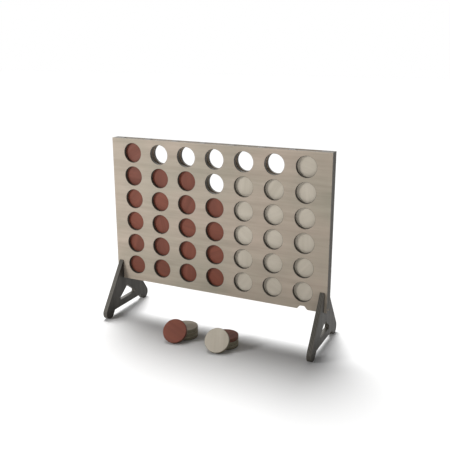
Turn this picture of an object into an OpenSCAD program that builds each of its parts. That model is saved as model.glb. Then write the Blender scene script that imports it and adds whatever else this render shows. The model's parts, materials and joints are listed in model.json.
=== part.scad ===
// Giant four in a row: an upright wooden board with seven disc channels,
// two lift-off A-frame legs, a pull-out release bar and a set of loose discs.
// Frame: +X along the board, +Y away from the players' front side, +Z up, ground at Z = 0.

/* [Board] */
// Overall width of the board
board_w = 914; // [880:1:1000]
// Overall height of the board
board_h = 592; // [580:1:680]
// Height of the board's lower edge above the ground
board_z = 144; // [120:1:200]
// Thickness of the front and of the back panel
panel_t = 12; // [9:0.5:18]
// Width of the stile at each end of the board
stile_w = 45.45; // [30:0.05:50]
// Diameter of a viewing hole
hole_d = 77; // [60:0.5:84]
// Chamfer round the outer rim of each viewing hole
hole_chamfer = 1; // [0.5:0.1:2]
// Height of the lowest holes' centres above the board's lower edge
first_row_h = 67.8; // [67:0.1:74]

/* [Discs] */
// Diameter of a disc
disc_d = 93.3; // [86:0.1:95]
// Thickness of a disc
disc_t = 14.5; // [10:0.5:20]
// Radius of a disc's rounded edges
disc_round = 2.5; // [1:0.1:4]
// Free space beside a disc in its channel, on each side
channel_clear = 2.2; // [1:0.1:3]
// Free space between a disc's face and a panel
face_clear = 0.75; // [0.5:0.05:2]
// Gap left between two pieces that rest on each other
seat_gap = 0.3; // [0.2:0.05:0.4]

/* [Release bar] */
// Height of the release bar's section
bar_h = 12; // [8:0.5:14]
// Depth to which the bar runs into each panel's groove
bar_tongue = 3; // [2:0.25:5]
// Width of the finger notches at their mouth
notch_w = 40; // [30:1:60]
// Width of the finger notches at their top
notch_top_w = 17; // [10:1:28]
// Height of the finger notches
notch_h = 13; // [10:0.5:16]
// Depth of the finger recess in the bar's underside
recess_h = 4; // [2:0.5:6]

/* [Screws] */
// Diameter of a screw's shank
screw_d = 3.5; // [3:0.25:5]
// Diameter of a screw's countersunk head
screw_head_d = 7; // [6:0.25:9]
// Length of a screw
screw_len = 18; // [14:0.5:19]
// Number of screws down each divider and stile, on each panel
screw_count = 4; // [2:1:6]
// Distance of the highest screws from the board's upper edge
screw_top_inset = 24; // [15:1:40]
// Distance of the lowest screws from the lower end of the dividers
screw_low_inset = 24; // [15:1:40]

/* [Legs] */
// Thickness of a leg plate
leg_t = 18; // [12:0.5:24]
// Distance of a leg's outer face from the board's end
leg_inset = 9; // [4:0.5:20]
// Height to which a leg's prongs lap over the board
prong_h = 78; // [40:1:90]
// Width of the flat end of a prong
prong_tip_w = 2; // [1:0.25:4]
// Distance of a foot's centre from the board's middle plane
foot_reach = 129; // [110:1:170]
// Radius of a rounded foot
foot_r = 26; // [20:0.5:30]
// Height of the flat ground off a foot's rounding
sole_cut = 1; // [0.5:0.1:2]
// Height of the crossbar's lower edge above the ground
rail_z = 26; // [18:0.5:30]
// Height of the crossbar's section
rail_h = 28; // [20:0.5:34]
// Height of the web left between the window and the board
web_h = 38; // [28:0.5:46]
// Half width of the window at its foot
window_half_w = 70; // [50:1:74]
// Rounding of the window's corners
window_round = 7; // [3:0.5:9]

/* [Loose discs] */
// Place of the left stack's centre along the board
left_stack_x = -67; // [-250:1:-40]
// Distance of the left stack's centre in front of the board's middle plane
left_stack_front = 139; // [130:1:300]
// Place of the right stack's centre along the board
right_stack_x = 109; // [80:1:250]
// Distance of the right stack's centre in front of the board's middle plane
right_stack_front = 144; // [130:1:300]
// Distance from a stack's centre to the foot of the disc leaning on it
lean_reach = 79; // [72:1:88]
// Turn of the leaning discs about the vertical
lean_turn = 10; // [0:1:20]
// Sideways shift of the left leaning disc from its stack's centre
left_lean_shift = 24; // [0:1:28]
// Sideways shift of the right leaning disc from its stack's centre
right_lean_shift = 18; // [0:1:28]

/* [Hidden] */
$fn = 64;
eps = 0.5;
// Columns and rows of the game, and the discs standing in each column
columns = 7;
rows = 6;
fill = [6, 5, 5, 4, 5, 5, 6];
red_columns = 4;
stack_discs = 3;

red = "#7d4034";
white = "#d8cfc0";
wash = "#beb2a2";
batten = "#8d8478";
bar_wood = "#a39787";
dark = "#3c3730";
steel = "#8a8780";

// Board
channel_w = disc_d + 2 * channel_clear;
col_pitch = (board_w - 2 * stile_w - channel_w) / (columns - 1);
divider_w = col_pitch - channel_w;
gap_t = disc_t + 2 * face_clear;
board_t = gap_t + 2 * panel_t;
board_top = board_z + board_h;
row_pitch = disc_d + seat_gap;
first_row_z = board_z + first_row_h;

// Release bar, just under the lowest discs
bar_top = first_row_z - disc_d / 2 - seat_gap;
bar_z = bar_top - bar_h;
bar_t = gap_t + 2 * bar_tongue;
bar_x0 = -board_w / 2 + stile_w + seat_gap;
bar_x1 = board_w / 2;
batten_z = bar_top + seat_gap;

// Screws
screw_fit = 0.05;
screw_sink = 0.4;
screw_low_z = batten_z + screw_low_inset;
screw_step = (board_top - screw_top_inset - screw_low_z) / (screw_count - 1);
batten_x = concat(
    [-board_w / 2 + stile_w / 2],
    [for (i = [1:columns - 1]) (i - columns / 2) * col_pitch],
    [board_w / 2 - stile_w / 2]
);

// Legs, drawn in the plane of the plate: first value across the board, second up
slot_half = board_t / 2 + seat_gap;
slot_z = board_z - seat_gap;
tip = [slot_half + prong_tip_w, board_z + prong_h];
foot = [foot_reach, foot_r - sole_cut];
foot_dist = norm(foot - tip);
edge_angle = atan2(foot[1] - tip[1], foot[0] - tip[0]) + asin(foot_r / foot_dist);
edge_dir = [cos(edge_angle), sin(edge_angle)];
foot_out = tip + sqrt(foot_dist ^ 2 - foot_r ^ 2) * edge_dir;
foot_in = 2 * foot - foot_out;
rail_half = foot_in[0] + (rail_z - foot_in[1]) * edge_dir[0] / edge_dir[1];
window_z0 = rail_z + rail_h;
window_z1 = slot_z - web_h;
leg_x = board_w / 2 - leg_inset - leg_t;

// Loose discs
stack_h = stack_discs * disc_t;
lean_run = lean_reach - disc_d / 2 + disc_round;
lean_rise = stack_h - disc_round;
lean_angle = acos((disc_round + seat_gap) / norm([lean_run, lean_rise])) - atan2(lean_rise, lean_run);
lean_facing = [sin(lean_turn), -cos(lean_turn), 0];
lean_side = [cos(lean_turn), sin(lean_turn), 0];
lean_up = [0, 0, cos(lean_angle)] - sin(lean_angle) * lean_facing;
lean_normal = cos(lean_angle) * lean_facing + [0, 0, sin(lean_angle)];

// Furthest reach of a rounded disc along a direction whose cosine with its axis is c
function disc_reach(c) =
    (disc_d / 2 - disc_round) * sqrt(1 - c ^ 2) + (disc_t / 2 - disc_round) * abs(c) + disc_round;

// Centre of a disc that leans on a stack standing at s, its lowest point on the ground
lean_h = disc_reach(lean_normal[2]);
lean_climb = (lean_h - disc_t / 2 * lean_normal[2]) / lean_up[2];
function lean_centre(s, shift) =
    [s[0], s[1], 0] + lean_reach * lean_facing - shift * lean_side
    + lean_climb * lean_up + disc_t / 2 * lean_normal;

left_stack = [left_stack_x, -left_stack_front];
right_stack = [right_stack_x, -right_stack_front];
left_lean = lean_centre(left_stack, left_lean_shift);
right_lean = lean_centre(right_stack, right_lean_shift);

// The whole set is centred on its footprint
front_reach = -min(left_lean[1], right_lean[1]) + disc_reach(lean_normal[1]);
rear_reach = foot_reach + foot_r;
shift_y = (front_reach - rear_reach) / 2;

function disc_name(c, r) = str("disc_c", c, "_r", r);
function stack_name(side, n) = str(side, "_stack_disc_", n);

BOARD_NODES = concat(
    ["front_panel", "back_panel", "left_stile", "right_stile"],
    [for (i = [1:columns - 1]) str("divider_", i)],
    ["front_screws", "back_screws", "release_bar", "left_leg", "right_leg"]
);
DISC_NODES = [for (c = [1:columns]) for (r = [1:fill[c - 1]]) disc_name(c, r)];
LOOSE_NODES = concat(
    [for (side = ["left", "right"]) for (n = [1:stack_discs]) stack_name(side, n)],
    ["left_leaning_disc", "right_leaning_disc"]
);

// A disc standing on its centre, its axis along Z
module disc() {
    core = disc_d / 2 - disc_round;
    rotate_extrude() {
        translate([0, -disc_t / 2]) square([core, disc_t]);
        translate([0, disc_round - disc_t / 2]) square([disc_d / 2, disc_t - 2 * disc_round]);
        for (s = [-1, 1])
            translate([core, s * (disc_t / 2 - disc_round)]) circle(r = disc_round);
    }
}

// A row of places for screws down every divider and stile
module at_screws() {
    for (x = batten_x)
        for (i = [0:screw_count - 1])
            translate([x, 0, screw_low_z + i * screw_step]) children();
}

// A countersunk screw driven along +Y, its head at Y = 0
module screw(fit) {
    head_h = (screw_head_d - screw_d) / 2;
    rotate([-90, 0, 0]) {
        cylinder(h = screw_len + fit, d = screw_d + 2 * fit);
        cylinder(h = head_h, d1 = screw_head_d + 2 * fit, d2 = screw_d + 2 * fit);
    }
}

// The screws of one panel, which is the one at the front
module panel_screws(fit) {
    translate([0, screw_sink - board_t / 2, 0]) at_screws() screw(fit);
}

// Finger notch in a panel's lower edge under the last column
module finger_notch() {
    x = (columns - 1) / 2 * col_pitch;
    low = board_z - eps;
    spread = (notch_w - notch_top_w) / 2 / notch_h * eps;
    translate([x, eps - gap_t / 2, 0]) rotate([90, 0, 0]) linear_extrude(panel_t + 2 * eps)
        polygon([
            [-notch_w / 2 - spread, low], [notch_w / 2 + spread, low],
            [notch_top_w / 2, board_z + notch_h], [-notch_top_w / 2, board_z + notch_h]
        ]);
}

// The front one of the two panels, which mirror each other
module panel() {
    difference() {
        translate([-board_w / 2, -board_t / 2, board_z]) cube([board_w, panel_t, board_h]);
        for (c = [0:columns - 1])
            for (r = [0:rows - 1])
                translate([(c - (columns - 1) / 2) * col_pitch, -board_t / 2, first_row_z + r * row_pitch])
                    rotate([-90, 0, 0]) {
                        translate([0, 0, -eps]) cylinder(h = panel_t + 2 * eps, d = hole_d);
                        translate([0, 0, -eps])
                            cylinder(h = hole_chamfer + eps, r1 = hole_d / 2 + hole_chamfer + eps, r2 = hole_d / 2);
                    }
        translate([bar_x0 - seat_gap, -bar_t / 2 - seat_gap, bar_z - seat_gap])
            cube([board_w, bar_t / 2, bar_h + 2 * seat_gap]);
        panel_screws(screw_fit);
        finger_notch();
    }
}

module front_panel() {
    color(wash) translate([0, shift_y, 0]) panel();
}

module back_panel() {
    color(wash) translate([0, shift_y, 0]) mirror([0, 1, 0]) panel();
}

// An upright strip between the panels, with the holes for its screws
module upright(x, w, z0) {
    difference() {
        translate([x - w / 2, -gap_t / 2, z0]) cube([w, gap_t, board_top - z0]);
        panel_screws(screw_fit);
        mirror([0, 1, 0]) panel_screws(screw_fit);
    }
}

module left_stile() {
    color(batten) translate([0, shift_y, 0]) upright(batten_x[0], stile_w, board_z);
}

module right_stile() {
    color(batten) translate([0, shift_y, 0]) upright(batten_x[columns], stile_w, batten_z);
}

module divider(i) {
    color(batten) translate([0, shift_y, 0]) upright(batten_x[i], divider_w, batten_z);
}

module front_screws() {
    color(steel) translate([0, shift_y, 0]) panel_screws(0);
}

module back_screws() {
    color(steel) translate([0, shift_y, 0]) mirror([0, 1, 0]) panel_screws(0);
}

// The slat that carries the discs and is drawn out to the right to release them
module release_bar() {
    color(bar_wood) translate([0, shift_y, 0]) difference() {
        translate([bar_x0, -bar_t / 2, bar_z]) cube([bar_x1 - bar_x0, bar_t, bar_h]);
        translate([(columns - 1) / 2 * col_pitch - notch_top_w / 2, -bar_t / 2 - eps, bar_z - eps])
            cube([notch_top_w, bar_t + 2 * eps, recess_h + eps]);
    }
}

// Triangle with rounded corners, standing on its base
module rounded_window() {
    a = atan2(window_z1 - window_z0, window_half_w);
    r = window_round;
    n = [sin(a), cos(a)];
    low = [window_half_w - r / tan(a / 2), window_z0 + r];
    top = [0, window_z1 - r / cos(a)];
    side = [low + r * n, top + r * n];
    polygon([
        [-low[0], window_z0], [low[0], window_z0], side[0], side[1],
        [-side[1][0], side[1][1]], [-side[0][0], side[0][1]]
    ]);
    translate(top) circle(r = r);
    for (s = [-1, 1]) translate([s * low[0], low[1]]) circle(r = r);
}

module leg_outline() {
    difference() {
        union() {
            polygon([
                [-tip[0], tip[1]], [-foot_out[0], foot_out[1]], [-foot_in[0], foot_in[1]],
                [-rail_half, rail_z], [rail_half, rail_z],
                foot_in, foot_out, tip
            ]);
            for (s = [-1, 1]) translate([s * foot[0], foot[1]]) circle(r = foot_r);
        }
        translate([-slot_half, slot_z]) square([2 * slot_half, prong_h + 2 * eps]);
        translate([-foot[0] - foot_r, -foot_r]) square([2 * (foot[0] + foot_r), foot_r]);
        rounded_window();
    }
}

// A leg plate whose left face is at X = x
module leg(x) {
    color(dark) translate([x, shift_y, 0]) rotate([90, 0, 90]) linear_extrude(leg_t) leg_outline();
}

module left_leg() {
    leg(-leg_x - leg_t);
}

module right_leg() {
    leg(leg_x);
}

// A disc in column c and row r, both counted from 1, from the left and from below
module board_disc(c, r) {
    color(c <= red_columns ? red : white)
        translate([(c - (columns + 1) / 2) * col_pitch, shift_y, first_row_z + (r - 1) * row_pitch])
            rotate([90, 0, 0]) disc();
}

// Disc n of a stack at s, counted from below
module stack_disc(s, n, tint) {
    color(tint) translate([s[0], s[1] + shift_y, (n - 0.5) * disc_t]) disc();
}

// A disc that stands on its edge at c and leans back on its stack
module leaning_disc(c, tint) {
    color(tint) translate([c[0], c[1] + shift_y, c[2]])
        rotate([0, 0, lean_turn]) rotate([90 - lean_angle, 0, 0]) disc();
}

front_panel();
back_panel();
left_stile();
right_stile();
for (i = [1:columns - 1])
    divider(i);
front_screws();
back_screws();
release_bar();
left_leg();
right_leg();
for (c = [1:columns])
    for (r = [1:fill[c - 1]])
        board_disc(c, r);
for (n = [1:stack_discs])
    stack_disc(left_stack, n, white);
for (n = [1:stack_discs])
    stack_disc(right_stack, n, n == stack_discs ? red : white);
leaning_disc(left_lean, red);  // left_leaning_disc
leaning_disc(right_lean, white);  // right_leaning_disc
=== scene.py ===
"""Looks of the giant four in a row, dressed around its packed construction.

The set is a whitewashed plywood board with seven channels of discs, two dark A-frame
legs, a release bar and a few discs that lie on the ground. Lengths are in metres, and
every piece keeps the place that its node has in the frame.
"""

import json
import logging
import math
from collections.abc import Callable
from dataclasses import dataclass, field
from enum import Enum
from typing import Any

import bpy
import numpy as np
from mathutils import Matrix, Vector

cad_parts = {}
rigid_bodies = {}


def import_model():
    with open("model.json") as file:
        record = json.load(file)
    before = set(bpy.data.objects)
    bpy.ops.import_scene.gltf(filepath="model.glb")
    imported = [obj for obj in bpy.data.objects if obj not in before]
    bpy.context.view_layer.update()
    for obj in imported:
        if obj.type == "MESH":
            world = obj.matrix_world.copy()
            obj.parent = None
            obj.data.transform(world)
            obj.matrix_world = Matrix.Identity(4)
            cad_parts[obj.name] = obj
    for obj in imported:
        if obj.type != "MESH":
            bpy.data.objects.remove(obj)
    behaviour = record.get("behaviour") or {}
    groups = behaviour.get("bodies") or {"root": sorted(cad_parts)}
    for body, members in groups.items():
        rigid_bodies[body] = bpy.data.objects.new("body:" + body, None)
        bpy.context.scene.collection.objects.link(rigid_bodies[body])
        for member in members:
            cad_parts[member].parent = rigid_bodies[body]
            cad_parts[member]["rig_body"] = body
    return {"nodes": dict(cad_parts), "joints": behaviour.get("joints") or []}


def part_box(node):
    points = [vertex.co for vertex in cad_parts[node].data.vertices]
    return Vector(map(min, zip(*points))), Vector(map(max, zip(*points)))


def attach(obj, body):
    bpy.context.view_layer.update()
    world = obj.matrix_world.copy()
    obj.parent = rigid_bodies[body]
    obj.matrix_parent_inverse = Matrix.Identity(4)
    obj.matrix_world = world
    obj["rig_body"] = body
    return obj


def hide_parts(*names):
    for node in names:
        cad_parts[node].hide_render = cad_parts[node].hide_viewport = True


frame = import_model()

log = logging.getLogger("four_in_a_row")

SEED = 4207
COLUMNS = 7
RED_COLUMNS = 4
# Depth of the dark band on a batten's outer end, partly stain and partly painted shade
SKIN = 0.0003
# How far apart in the log two discs may be cut
LOG_REACH = 3.0

Socket = bpy.types.NodeSocket
Colour = tuple[float, float, float, float]


def paint(red: int, green: int, blue: int) -> Colour:
    """Turn a display colour into the linear colour that a shader takes.

    Args:
        red: Red, from 0 to 255.
        green: Green, from 0 to 255.
        blue: Blue, from 0 to 255.

    Returns:
        Linear red, green and blue, with an alpha of 1.
    """
    shares = [channel / 255 for channel in (red, green, blue)]
    linear = [s / 12.92 if s <= 0.04045 else ((s + 0.055) / 1.055) ** 2.4 for s in shares]
    return (*linear, 1.0)


class Graph:
    """A node tree with short calls for the nodes that the finishes use."""

    def __init__(self, tree: bpy.types.NodeTree) -> None:
        """Take over a node tree and empty it."""
        self.tree = tree
        tree.nodes.clear()

    def add(self, kind: str, inputs: dict[str | int, Any] | None = None, **settings: Any) -> bpy.types.Node:
        """Add a node.

        Args:
            kind: The node's type without its leading ShaderNode.
            inputs: Sockets to link or plain values to set, by input name or number.
            **settings: Properties of the node itself.

        Returns:
            The new node.
        """
        node = self.tree.nodes.new("ShaderNode" + kind)
        for name, value in settings.items():
            setattr(node, name, value)
        for name, value in (inputs or {}).items():
            self.feed(node.inputs[name], value)
        return node

    def place(self, group: bpy.types.NodeTree, inputs: dict[str, Any]) -> Any:
        """Place a node group.

        Args:
            group: The node group.
            inputs: Sockets or plain values, by input name.

        Returns:
            The placed group's outputs.
        """
        return self.add("Group", inputs, node_tree=group).outputs

    def feed(self, socket: Socket, value: Any) -> None:
        """Link value to an input if it is a socket, and otherwise set it there."""
        if isinstance(value, Socket):
            self.tree.links.new(value, socket)
        else:
            socket.default_value = value

    def calc(self, operation: str, first: Any, second: Any = 0.0, clamp: bool = False) -> Socket:
        """Combine two values with a Math node.

        Args:
            operation: The Math node's operation.
            first: First operand, a socket or a number.
            second: Second operand, a socket or a number.
            clamp: Whether the result is held between 0 and 1.

        Returns:
            The result's socket.
        """
        return self.add("Math", {0: first, 1: second}, operation=operation, use_clamp=clamp).outputs[0]

    def remap(
        self, value: Socket, low: float, high: float, to_low: float = 0.0, to_high: float = 1.0
    ) -> Socket:
        """Map the range low to high onto to_low to to_high, held at both ends.

        Args:
            value: The value to map.
            low: Value that becomes to_low.
            high: Value that becomes to_high.
            to_low: Result at low.
            to_high: Result at high.

        Returns:
            The mapped value's socket.
        """
        limits = {"From Min": low, "From Max": high, "To Min": to_low, "To Max": to_high}
        return self.add("MapRange", {"Value": value, **limits}).outputs["Result"]

    def tint(self, factor: Any, first: Any, second: Any, blend: str = "MIX") -> Socket:
        """Mix two colours.

        Args:
            factor: Share of the second colour, a socket or a number.
            first: First colour.
            second: Second colour.
            blend: The Mix node's blend type.

        Returns:
            The mixed colour's socket.
        """
        node = self.add("Mix", {0: factor, 6: first, 7: second}, data_type="RGBA", blend_type=blend)
        return node.outputs[2]

    def stretch(self, vector: Socket, scale: tuple[float, float, float], shift: float = 0.0) -> Socket:
        """Scale a vector and shift it equally along its three axes.

        Args:
            vector: The vector to change.
            scale: Factors along X, Y and Z.
            shift: Distance added along each axis, after scaling.

        Returns:
            The changed vector's socket.
        """
        inputs = {"Vector": vector, "Location": (shift,) * 3, "Scale": scale}
        return self.add("Mapping", inputs).outputs[0]

    def noise(
        self, vector: Socket, detail: float = 2.0, roughness: float = 0.5, distortion: float = 0.0
    ) -> Socket:
        """Smooth noise of unit scale, from about 0.25 to 0.75.

        Args:
            vector: Where the noise is read.
            detail: Number of octaves.
            roughness: Share of the finer octaves.
            distortion: How far the pattern is bent by itself.

        Returns:
            The noise value's socket.
        """
        inputs = {"Vector": vector, "Scale": 1.0, "Detail": detail, "Roughness": roughness}
        return self.add("TexNoise", {**inputs, "Distortion": distortion}).outputs[0]

    def blend(self, shares: dict[Socket, float]) -> Socket:
        """Add values up, each times its share, and hold the sum from 0 to 1."""
        total = None
        for value, share in shares.items():
            part = self.calc("MULTIPLY", value, share)
            total = part if total is None else self.calc("ADD", total, part, clamp=True)
        return total

    def split(self, vector: Socket) -> list[Socket]:
        """Split a vector into its X, Y and Z sockets."""
        return list(self.add("SeparateXYZ", {0: vector}).outputs)

    def join(self, x: Any, y: Any, z: Any) -> Socket:
        """Join three values into a vector."""
        return self.add("CombineXYZ", {0: x, 1: y, 2: z}).outputs[0]


@dataclass(frozen=True)
class GrainScale:
    """How fine each layer of the veneer's grain is, along it and across it, in repeats a metre."""

    fibre: tuple[float, float, float] = (16, 520, 520)
    streak: tuple[float, float, float] = (3.2, 62, 62)
    figure: tuple[float, float, float] = (1.1, 8.5, 8.5)
    blotch: tuple[float, float, float] = (4.2, 6.5, 6.5)
    rings: float = 46.0
    grit: float = 240.0


GRAIN = GrainScale()
SOCKET_KINDS = {"value": "NodeSocketFloat", "vector": "NodeSocketVector", "colour": "NodeSocketColor"}


class Effects:
    """The shader node groups that several finishes share, each built once."""

    def __init__(self) -> None:
        """Build every group."""
        self.grain = self._group(
            "wood_grain", {"Vector": "vector"}, ("Fibre", "Streak", "Figure", "Blotch"), self._grain
        )
        self.plies = self._group(
            "ply_layers", {"Depth": "value", "Ply": "value", "Vector": "vector"}, ("Layer",), self._plies
        )

    @staticmethod
    def _group(
        name: str,
        inputs: dict[str, str],
        outputs: tuple[str, ...],
        build: Callable[[Graph, Any], dict[str, Socket]],
    ) -> bpy.types.NodeTree:
        """Make one group from the function that wires its inside.

        Args:
            name: The group's name.
            inputs: Kind of each input, by name.
            outputs: Names of the outputs, all plain values.
            build: Function that takes the graph and the inputs' sockets and gives the outputs' sockets.

        Returns:
            The finished group.
        """
        tree = bpy.data.node_groups.new(name, "ShaderNodeTree")
        for label, kind in inputs.items():
            tree.interface.new_socket(label, in_out="INPUT", socket_type=SOCKET_KINDS[kind])
        for label in outputs:
            tree.interface.new_socket(label, in_out="OUTPUT", socket_type=SOCKET_KINDS["value"])
        graph = Graph(tree)
        source = tree.nodes.new("NodeGroupInput")
        sink = tree.nodes.new("NodeGroupOutput")
        for label, socket in build(graph, source.outputs).items():
            tree.links.new(socket, sink.inputs[label])
        return tree

    @staticmethod
    def _grain(graph: Graph, given: Any) -> dict[str, Socket]:
        """Rotary-cut veneer whose grain runs along X.

        Fibres and streaks are noise drawn out along X. The figure is the sine of a broad,
        drawn-out noise, which gives the long nested ovals of a peeled veneer.
        """
        where = given["Vector"]
        fibre = graph.noise(graph.stretch(where, GRAIN.fibre), detail=3, roughness=0.6)
        streak = graph.noise(graph.stretch(where, GRAIN.streak, 4.1), detail=3, roughness=0.55)
        broad = graph.noise(graph.stretch(where, GRAIN.figure, 1.7), detail=1.5, distortion=0.25)
        rings = graph.calc("SINE", graph.calc("MULTIPLY", broad, GRAIN.rings))
        figure = graph.remap(rings, -1.0, 1.0)
        blotch = graph.noise(graph.stretch(where, GRAIN.blotch, 9.3), detail=2.5, roughness=0.55)
        return {
            "Fibre": graph.remap(fibre, 0.28, 0.72),
            "Streak": graph.remap(streak, 0.28, 0.72),
            "Figure": figure,
            "Blotch": graph.remap(blotch, 0.3, 0.7),
        }

    @staticmethod
    def _plies(graph: Graph, given: Any) -> dict[str, Socket]:
        """Plywood's layers seen on a cut edge: every other ply shows its end grain.

        The layer is a square wave of the depth, softened at its glue lines, with fine noise
        that runs along the cut.
        """
        turn = graph.calc("DIVIDE", given["Depth"], given["Ply"])
        wave = graph.calc("SINE", graph.calc("MULTIPLY", turn, math.pi))
        layer = graph.remap(wave, -0.35, 0.35)
        grit = graph.noise(graph.stretch(given["Vector"], (GRAIN.grit,) * 3), detail=3, roughness=0.65)
        return {"Layer": graph.calc("MULTIPLY", layer, graph.remap(grit, 0.2, 0.8, 0.55, 1.0), clamp=True)}


@dataclass(frozen=True)
class Finish:
    """A finish that becomes one material: its name, gloss and depth of relief."""

    name: str
    roughness: float
    relief: float

    def material(self, effects: Effects) -> bpy.types.Material:
        """Build the material.

        Args:
            effects: The shared node groups.

        Returns:
            The material, with a Principled shader at its end.
        """
        material = bpy.data.materials.new(self.name)
        material.use_nodes = True
        graph = Graph(material.node_tree)
        colour, roughness, height = self.wire(graph, effects)
        bump = graph.add("Bump", {"Height": height, "Strength": 0.6, "Distance": self.relief})
        shader = graph.add(
            "BsdfPrincipled", {"Base Color": colour, "Roughness": roughness, "Normal": bump.outputs[0]}
        )
        self.gloss(shader)
        graph.add("OutputMaterial", {"Surface": shader.outputs[0]})
        return material

    def wire(self, graph: Graph, effects: Effects) -> tuple[Socket, Socket, Socket]:
        """Give the sockets of the colour, the roughness and the relief's height."""
        raise NotImplementedError

    def gloss(self, shader: bpy.types.Node) -> None:
        """Set the shader's own constant values."""
        shader.inputs["Specular IOR Level"].default_value = 0.35


@dataclass(frozen=True)
class WashedPlywood(Finish):
    """Whitewashed plywood panel with horizontal grain and dark edges: their plies, darkened with painted
    shade.
    """

    light: Colour = paint(190, 178, 161)
    dark: Colour = paint(146, 136, 121)
    warm: Colour = paint(184, 163, 149)
    cool: Colour = paint(152, 149, 133)
    # edge colours: the plies' colours, darkened with painted shade for the end faces, tops and hole walls
    edge: Colour = paint(88, 84, 77)
    shaded_edge_dark: Colour = paint(58, 54, 48)
    ply: float = 0.0024

    def wire(self, graph: Graph, effects: Effects) -> tuple[Socket, Socket, Socket]:
        """Wire the wash over the grain on the faces, and the plies on the edges, darkened with painted
        shade.
        """
        place = graph.add("TexCoord")
        where, normal = place.outputs["Object"], place.outputs["Normal"]
        grain = graph.place(effects.grain, {"Vector": where})
        shares = {grain["Streak"]: 0.45, grain["Figure"]: 0.14, grain["Fibre"]: 0.3, grain["Blotch"]: 0.15}
        mottle = graph.blend(shares)
        face = graph.tint(mottle, self.light, self.dark)
        patches = graph.tint(grain["Blotch"], self.warm, self.cool)
        face = graph.tint(0.4, face, patches)
        deep = graph.split(where)[1]
        layer = graph.place(effects.plies, {"Depth": deep, "Ply": self.ply, "Vector": where})["Layer"]
        # ply pattern in the edge colours, which carry painted shade
        edge = graph.tint(layer, self.edge, self.shaded_edge_dark)
        facing = graph.calc("ABSOLUTE", graph.split(normal)[1])
        on_face = graph.remap(facing, 0.75, 0.95)
        colour = graph.tint(on_face, edge, face)
        roughness = graph.remap(grain["Streak"], 0.0, 1.0, self.roughness - 0.06, self.roughness + 0.08)
        height = graph.calc("ADD", grain["Fibre"], graph.calc("MULTIPLY", grain["Streak"], 0.5))
        return colour, roughness, height


@dataclass(frozen=True)
class StainedPlywood(Finish):
    """Dark stained plywood leg, its plate square to X."""

    light: Colour = paint(62, 58, 51)
    dark: Colour = paint(40, 37, 32)
    rubbed: Colour = paint(92, 88, 80)
    ply: float = 0.0026

    def wire(self, graph: Graph, effects: Effects) -> tuple[Socket, Socket, Socket]:
        """Wire the stain over a grain that runs up the plate, and the plies on its cut edge."""
        place = graph.add("TexCoord")
        where, normal = place.outputs["Object"], place.outputs["Normal"]
        across, deep, up = graph.split(where)
        grain = graph.place(effects.grain, {"Vector": graph.join(up, deep, across)})
        tone = graph.blend({grain["Streak"]: 0.6, grain["Fibre"]: 0.4})
        face = graph.tint(tone, self.light, self.dark)
        layer = graph.place(effects.plies, {"Depth": across, "Ply": self.ply, "Vector": where})["Layer"]
        edge = graph.tint(layer, self.rubbed, self.dark)
        facing = graph.calc("ABSOLUTE", graph.split(normal)[0])
        colour = graph.tint(graph.remap(facing, 0.3, 0.8), edge, face)
        roughness = graph.remap(grain["Streak"], 0.0, 1.0, self.roughness - 0.05, self.roughness + 0.08)
        return colour, roughness, grain["Fibre"]


@dataclass(frozen=True)
class DiscStain(Finish):
    """Stained or washed plywood disc, whose grain follows the disc's own attributes."""

    light: Colour = paint(127, 65, 45)
    dark: Colour = paint(92, 47, 32)
    side: Colour = paint(112, 72, 54)
    side_dark: Colour = paint(72, 42, 32)
    ply: float = 0.0029

    def wire(self, graph: Graph, effects: Effects) -> tuple[Socket, Socket, Socket]:
        """Wire the stain over the disc's grain, with its plies on the rim."""
        where = graph.add("Attribute", attribute_name="wood").outputs["Vector"]
        tone = graph.add("Attribute", attribute_name="tone").outputs["Fac"]
        rim = graph.add("Attribute", attribute_name="rim").outputs["Fac"]
        grain = graph.place(effects.grain, {"Vector": where})
        mottle = graph.blend({grain["Streak"]: 0.4, grain["Figure"]: 0.15, grain["Fibre"]: 0.15, tone: 0.3})
        face = graph.tint(mottle, self.light, self.dark)
        deep = graph.split(where)[2]
        layer = graph.place(effects.plies, {"Depth": deep, "Ply": self.ply, "Vector": where})["Layer"]
        edge = graph.tint(layer, self.side, self.side_dark)
        colour = graph.tint(graph.remap(rim, 0.35, 0.75), face, edge)
        roughness = graph.remap(grain["Streak"], 0.0, 1.0, self.roughness - 0.05, self.roughness + 0.08)
        return colour, roughness, grain["Fibre"]


@dataclass(frozen=True)
class BareWood(Finish):
    """Solid pine batten or bar with a thin grey wash, dark where it meets the board's outside: partly
    stain, partly painted shade.
    """

    light: Colour = paint(176, 162, 140)
    dark: Colour = paint(138, 124, 104)
    stain_and_painted_shade: Colour = paint(84, 80, 73)
    stain_and_painted_shade_dark: Colour = paint(56, 53, 47)
    outer: float = 0.45
    upright: bool = True

    def wire(self, graph: Graph, effects: Effects) -> tuple[Socket, Socket, Socket]:
        """Wire the wash over a straight grain, and the dark band, partly stain and partly painted shade, on
        the ends beyond outer and on top.
        """
        place = graph.add("TexCoord")
        where = place.outputs["Object"]
        across, deep, up = graph.split(where)
        along = graph.join(up, deep, across) if self.upright else where
        grain = graph.place(effects.grain, {"Vector": along})
        tone = graph.blend({grain["Streak"]: 0.7, grain["Fibre"]: 0.3})
        at_end = graph.remap(graph.calc("ABSOLUTE", across), self.outer - SKIN, self.outer)
        on_top = graph.remap(graph.calc("ABSOLUTE", graph.split(place.outputs["Normal"])[2]), 0.75, 0.95)
        outside = graph.calc("MAXIMUM", at_end, on_top) if self.upright else at_end
        # dark band on the ends and tops: partly stain, partly painted shade
        stain = graph.tint(tone, self.stain_and_painted_shade, self.stain_and_painted_shade_dark)
        colour = graph.tint(outside, graph.tint(tone, self.light, self.dark), stain)
        roughness = graph.remap(grain["Fibre"], 0.0, 1.0, self.roughness - 0.05, self.roughness + 0.08)
        return colour, roughness, grain["Fibre"]


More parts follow.
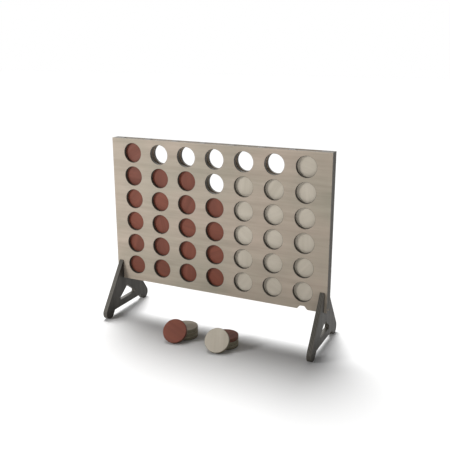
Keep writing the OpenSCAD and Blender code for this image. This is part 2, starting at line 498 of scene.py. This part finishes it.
@dataclass(frozen=True)
class DullSteel(Finish):
    """Zinc-plated screw, dulled by weather and a little wash."""

    light: Colour = paint(140, 136, 126)
    dark: Colour = paint(92, 88, 80)

    def wire(self, graph: Graph, effects: Effects) -> tuple[Socket, Socket, Socket]:
        """Wire a cloudy plating."""
        where = graph.add("TexCoord").outputs["Object"]
        cloud = graph.noise(graph.stretch(where, (400, 400, 400)), detail=4, roughness=0.6)
        mask = graph.remap(cloud, 0.3, 0.7)
        colour = graph.tint(mask, self.light, self.dark)
        roughness = graph.remap(mask, 0.0, 1.0, self.roughness, self.roughness + 0.2)
        return colour, roughness, mask

    def gloss(self, shader: bpy.types.Node) -> None:
        """Make the shader metallic."""
        shader.inputs["Metallic"].default_value = 0.75


@dataclass
class Disc:
    """A round of plywood whose rim is rounded over, turned about its own axis."""

    radius: float
    thickness: float
    rounding: float = 0.0025
    turns: int = 96
    arc_steps: int = 6

    def profile(self) -> tuple[np.ndarray, np.ndarray]:
        """Work out the half section, from the lower pole to the upper one.

        The section is a flat, a quarter arc of the rounding, the side, a second quarter arc
        and the other flat, with a ring close to each arc that keeps the flat's shading flat.

        Returns:
            Distance from the axis and height along it, for every ring between the poles.
        """
        core, half = self.radius - self.rounding, self.thickness / 2
        angles = np.linspace(-math.pi / 2, 0, self.arc_steps + 1)
        arc_out = core + self.rounding * np.cos(angles)
        arc_up = self.rounding - half + self.rounding * np.sin(angles)
        flat_out = core * np.array([0.35, 0.7, 0.985])
        out = np.concatenate([flat_out, arc_out])
        up = np.concatenate([np.full(3, -half), arc_up])
        return np.concatenate([out, out[::-1]]), np.concatenate([up, -up[::-1]])

    def points(self) -> np.ndarray:
        """Turn the profile about Z: x = r cos a, y = r sin a, z = height, plus the two poles."""
        out, up = self.profile()
        angles = np.arange(self.turns) * 2 * math.pi / self.turns
        x = np.outer(out, np.cos(angles))
        y = np.outer(out, np.sin(angles))
        z = np.repeat(up[:, None], self.turns, axis=1)
        rings = np.stack([x, y, z], axis=-1).reshape(-1, 3)
        return np.vstack([rings, [[0, 0, up[0]], [0, 0, up[-1]]]])

    def faces(self) -> list[np.ndarray]:
        """Join the rings with quads and the end rings to the poles with triangles."""
        rings = len(self.profile()[0])
        index = np.arange(rings * self.turns).reshape(rings, self.turns)
        after = np.roll(index, -1, axis=1)
        quads = np.stack([index[:-1], after[:-1], after[1:], index[1:]], axis=-1).reshape(-1, 4)
        low_pole, high_pole = rings * self.turns, rings * self.turns + 1
        low = np.stack([np.full(self.turns, low_pole), after[0], index[0]], axis=-1)
        high = np.stack([np.full(self.turns, high_pole), index[-1], after[-1]], axis=-1)
        return [quads, low, high]

    def build(self, name: str, axes: Matrix, centre: Vector, rng: np.random.Generator) -> bpy.types.Object:
        """Make the disc's object, with its grain in attributes of its own.

        Args:
            name: The object's name.
            axes: Rotation whose third column is the disc's axis.
            centre: The disc's centre.
            rng: Source of the grain's turn, its place in the log and the depth of colour.

        Returns:
            The object, at the origin, with the disc's place in its mesh.
        """
        local = self.points()
        world = local @ np.array(axes).T + np.array(centre)
        mesh = bpy.data.meshes.new(name)
        faces = [face for block in self.faces() for face in block.tolist()]
        mesh.from_pydata(world, [], faces)
        mesh.shade_smooth()
        turn = rng.uniform(0, 2 * math.pi)
        spin = np.array(Matrix.Rotation(turn, 3, "Z"))
        grain = local @ spin.T + np.array([*rng.uniform(-LOG_REACH, LOG_REACH, 2), 0.0])
        past_flat = np.hypot(local[:, 0], local[:, 1]) - (self.radius - self.rounding)
        side = np.clip(past_flat / self.rounding, 0, 1)
        self._attribute(mesh, "wood", "FLOAT_VECTOR", "vector", grain)
        self._attribute(mesh, "rim", "FLOAT", "value", side)
        self._attribute(mesh, "tone", "FLOAT", "value", np.full(len(local), rng.uniform(0, 1)))
        disc = bpy.data.objects.new(name, mesh)
        bpy.context.scene.collection.objects.link(disc)
        return disc

    @staticmethod
    def _attribute(mesh: bpy.types.Mesh, name: str, kind: str, field_name: str, values: np.ndarray) -> None:
        """Store one value for each point of a mesh under a name that a material can read."""
        layer = mesh.attributes.new(name, kind, "POINT")
        layer.data.foreach_set(field_name, np.ascontiguousarray(values, dtype=np.float32).ravel())


class Stain(Enum):
    """The two players' colours, each with its slot in the record."""

    RED = "disc_red"
    WHITE = "disc_white"


@dataclass
class Discs:
    """Every disc of the set: in the board's channels, stacked on the ground and leaning."""

    effects: Effects
    finishes: dict[Stain, Finish] = field(default_factory=dict)

    def __post_init__(self) -> None:
        """Take the disc's size from the frame and build the two players' materials."""
        low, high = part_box("disc_c1_r1")
        self.shape = Disc(radius=(high.x - low.x) / 2, thickness=high.y - low.y)
        self.materials = {stain: finish.material(self.effects) for stain, finish in self.finishes.items()}
        self.rng = np.random.default_rng(SEED)

    def build(self) -> int:
        """Replace every disc node with a turned disc.

        Returns:
            The number of discs.
        """
        names = sorted(name for name in frame["nodes"] if "disc" in name)
        for name in names:
            low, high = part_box(name)
            piece = self.shape.build(name + "_wood", self.axes(name), (low + high) / 2, self.rng)
            stain = self.stain(name)
            piece.data.materials.append(self.materials[stain])
            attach(piece, frame["nodes"][name]["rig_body"])
            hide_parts(name)
        return len(names)

    @staticmethod
    def stain(name: str) -> Stain:
        """Whose colour a disc has: the first columns, a stack's top and one leaning disc are red."""
        if name.startswith("disc_c"):
            return Stain.RED if int(name[len("disc_c")]) <= RED_COLUMNS else Stain.WHITE
        return Stain.RED if name in ("left_leaning_disc", "right_stack_disc_3") else Stain.WHITE

    @staticmethod
    def axes(name: str) -> Matrix:
        """The rotation that turns a disc lying flat into a disc's place.

        A disc in a channel faces the players, and a leaning one slides up along its joint's
        axis, so its face is square to that axis and to a level line.
        """
        if name.startswith("disc_c"):
            return Matrix.Rotation(math.pi / 2, 3, "X")
        if "stack" in name:
            return Matrix.Identity(3)
        joint = next(j for j in frame["joints"] if j["child"] == frame["nodes"][name]["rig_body"])
        up = Vector(joint["axis"]).normalized()
        side = Vector((up.y, -up.x, 0)).normalized()
        return Matrix((side, up, side.cross(up))).transposed()


def dress(material: bpy.types.Material, *nodes: str) -> None:
    """Give a material to CAD nodes.

    Args:
        material: The material.
        *nodes: Names of the nodes.
    """
    for name in nodes:
        piece = frame["nodes"][name]
        if not piece.material_slots:
            piece.data.materials.append(material)
        for slot in piece.material_slots:
            slot.material = material
        log.info("%s wears %s", name, material.name)


@dataclass
class Board:
    """The upright board: two panels, their stiles and dividers, the screws and the release bar."""

    effects: Effects
    wash: Finish = WashedPlywood("whitewashed_plywood", roughness=0.62, relief=0.0004)
    screws: Finish = DullSteel("dull_zinc_screws", roughness=0.42, relief=0.0001)

    def build(self) -> None:
        """Dress the board's nodes."""
        dress(self.wash.material(self.effects), "front_panel", "back_panel")
        dividers = [f"divider_{n}" for n in range(1, COLUMNS)]
        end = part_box("front_panel")[1].x
        batten = BareWood("washed_pine_batten", roughness=0.68, relief=0.0003, outer=end)
        bar = BareWood("washed_pine_bar", roughness=0.6, relief=0.0003, outer=end, upright=False)
        dress(batten.material(self.effects), "left_stile", "right_stile", *dividers)
        dress(bar.material(self.effects), "release_bar")
        dress(self.screws.material(self.effects), "front_screws", "back_screws")


@dataclass
class Legs:
    """The two slotted A-frame legs that the board stands in."""

    effects: Effects
    stain: Finish = StainedPlywood("dark_stained_plywood", roughness=0.55, relief=0.0003)

    def build(self) -> None:
        """Dress both legs."""
        dress(self.stain.material(self.effects), "left_leg", "right_leg")


@dataclass
class Studio:
    """Camera, lamps, world and the pale floor that the set stands on."""

    azimuth: float = math.radians(26.01)
    elevation: float = math.radians(15.51)
    roll: float = math.radians(-0.15)
    distance: float = 2.467
    target: Vector = field(default_factory=lambda: Vector((0.045, 0.021, 0.431)))
    lens: float = 51.79
    floor_size: float = 40.0
    sun_from: Vector = field(default_factory=lambda: Vector((-0.33, 0.5, 1.0)))
    sun_energy: float = 5.0
    sun_spread: float = math.radians(35)
    key_place: Vector = field(default_factory=lambda: Vector((-1.45, -1.75, 1.0)))
    key_aim: Vector = field(default_factory=lambda: Vector((-0.1, 0, 0.45)))
    key_energy: float = 27.0
    key_size: tuple[float, float] = (0.6, 0.5)
    sky: float = 0.2
    floor_colour: Colour = (0.6, 0.6, 0.6, 1.0)
    floor_seen: Colour = (0.68, 0.68, 0.68, 1.0)

    def build(self) -> None:
        """Build all of it."""
        self.camera()
        self.sun()
        self.key()
        self.world()
        self.floor()
        bpy.context.scene.view_settings.view_transform = "Standard"

    def camera(self) -> None:
        """Place the camera at a distance from its target, in front and to the right."""
        data = bpy.data.cameras.new("camera")
        data.lens = self.lens
        data.sensor_width = 36.0
        camera = bpy.data.objects.new("camera", data)
        bpy.context.scene.collection.objects.link(camera)
        turn = (
            Matrix.Rotation(self.azimuth, 4, "Z")
            @ Matrix.Rotation(math.pi / 2 - self.elevation, 4, "X")
            @ Matrix.Rotation(self.roll, 4, "Z")
        )
        away = turn.to_3x3() @ Vector((0, 0, 1))
        camera.matrix_world = Matrix.Translation(self.target + self.distance * away) @ turn
        bpy.context.scene.camera = camera

    @staticmethod
    def _lamp(name: str, kind: str, place: Vector, target: Vector, energy: float) -> bpy.types.Light:
        """Add a lamp at place that shines at target, and give its data."""
        data = bpy.data.lights.new(name, kind)
        data.energy = energy
        lamp = bpy.data.objects.new(name, data)
        lamp.location = place
        lamp.rotation_euler = (target - place).to_track_quat("-Z", "Y").to_euler()
        bpy.context.scene.collection.objects.link(lamp)
        return data

    def sun(self) -> None:
        """High light from behind the board, left of it, that throws its shadow to the front."""
        data = self._lamp("sun", "SUN", self.sun_from, Vector(), self.sun_energy)
        data.angle = self.sun_spread

    def key(self) -> None:
        """Broad light from the upper left in front, which models the holes and the discs."""
        data = self._lamp("key", "AREA", self.key_place, self.key_aim, self.key_energy)
        data.shape = "RECTANGLE"
        data.size, data.size_y = self.key_size

    def world(self) -> None:
        """A dim even sky, which shows as white behind the set."""
        world = bpy.data.worlds.new("studio")
        world.use_nodes = True
        graph = Graph(world.node_tree)
        seen = self.seen(graph)
        strength = graph.remap(seen, 0.0, 1.0, self.sky, 1.0)
        light = graph.add("Background", {"Color": (1, 1, 1, 1), "Strength": strength})
        graph.add("OutputWorld", {"Surface": light.outputs[0]})
        bpy.context.scene.world = world

    @staticmethod
    def seen(graph: Graph) -> Socket:
        """1 where a surface is seen straight on, in a gloss or through glass, and otherwise 0."""
        path = graph.add("LightPath")
        glossy = graph.calc("MAXIMUM", path.outputs["Is Camera Ray"], path.outputs["Is Glossy Ray"])
        return graph.calc("MAXIMUM", glossy, path.outputs["Is Transmission Ray"])

    def floor(self) -> None:
        """A flat pale floor at the ground's height."""
        half = self.floor_size / 2
        mesh = bpy.data.meshes.new("floor")
        corners = [(-half, -half, 0), (half, -half, 0), (half, half, 0), (-half, half, 0)]
        mesh.from_pydata(corners, [], [(0, 1, 2, 3)])
        floor = bpy.data.objects.new("floor", mesh)
        bpy.context.scene.collection.objects.link(floor)
        material = bpy.data.materials.new("pale_floor")
        material.use_nodes = True
        graph = Graph(material.node_tree)
        colour = graph.tint(self.seen(graph), self.floor_colour, self.floor_seen)
        shader = graph.add("BsdfDiffuse", {"Color": colour})
        graph.add("OutputMaterial", {"Surface": shader.outputs[0]})
        mesh.materials.append(material)


def main() -> None:
    """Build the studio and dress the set."""
    logging.basicConfig(level=logging.INFO)
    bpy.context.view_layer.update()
    Studio().build()
    effects = Effects()
    Board(effects).build()
    Legs(effects).build()
    stains = {
        Stain.RED: DiscStain("red_stained_disc", roughness=0.55, relief=0.0003),
        Stain.WHITE: DiscStain(
            "whitewashed_disc",
            roughness=0.6,
            relief=0.0003,
            light=paint(208, 199, 184),
            dark=paint(182, 173, 157),
            side=paint(140, 133, 112),
            side_dark=paint(92, 86, 70),
        ),
    }
    count = Discs(effects, stains).build()
    log.info("%d discs", count)


if __name__ == "__main__":
    main()
